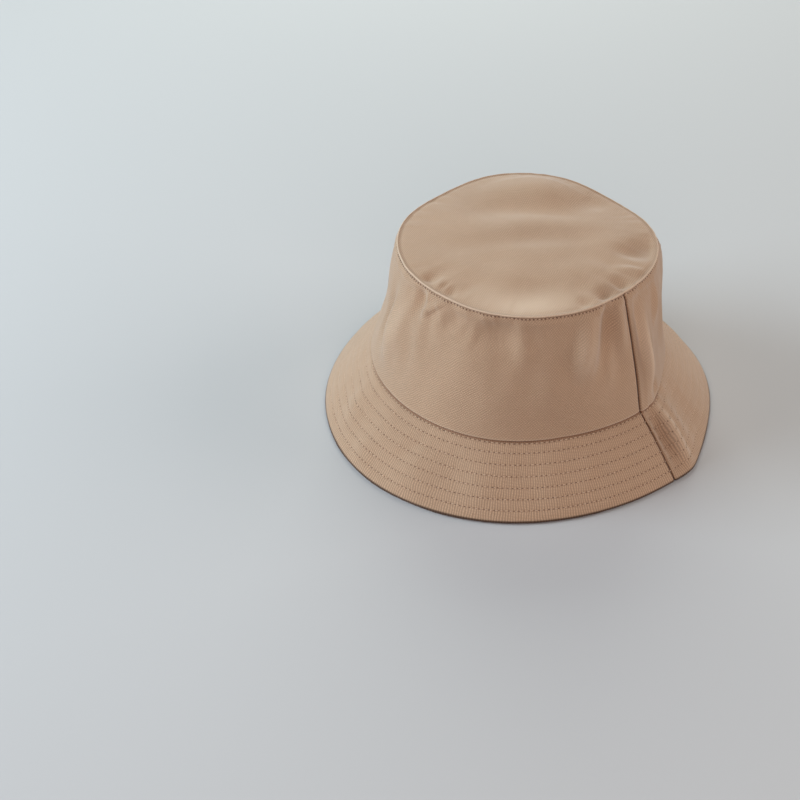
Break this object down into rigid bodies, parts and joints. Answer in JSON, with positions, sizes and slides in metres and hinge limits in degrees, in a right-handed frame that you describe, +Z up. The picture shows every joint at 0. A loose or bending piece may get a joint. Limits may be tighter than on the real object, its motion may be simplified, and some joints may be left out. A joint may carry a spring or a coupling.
{
  "type": "bucket hat",
  "caption": "Soft cotton bucket hat: oval tip, panelled crown tapering upwards, side seams and a steep quilted brim, resting on its brim edge",
  "frame": {"origin": "on the surface the hat rests on, under the middle of its box", "axes": "+Z up along the crown, -Y towards the wearer's front, side seams at +X and -X"},
  "size_m": [0.2517, 0.251, 0.1217],
  "materials": {
    "crown_twill": "beige cotton twill, single ply, matt",
    "brim_twill": "beige cotton twill, two plies quilted together, matt"
  },
  "bodies": {
    "root": {"crown_tip": "crown_twill", "crown_front": "crown_twill", "crown_back": "crown_twill", "brim_front": "brim_twill", "brim_back": "brim_twill"}
  },
  "joints": []
}
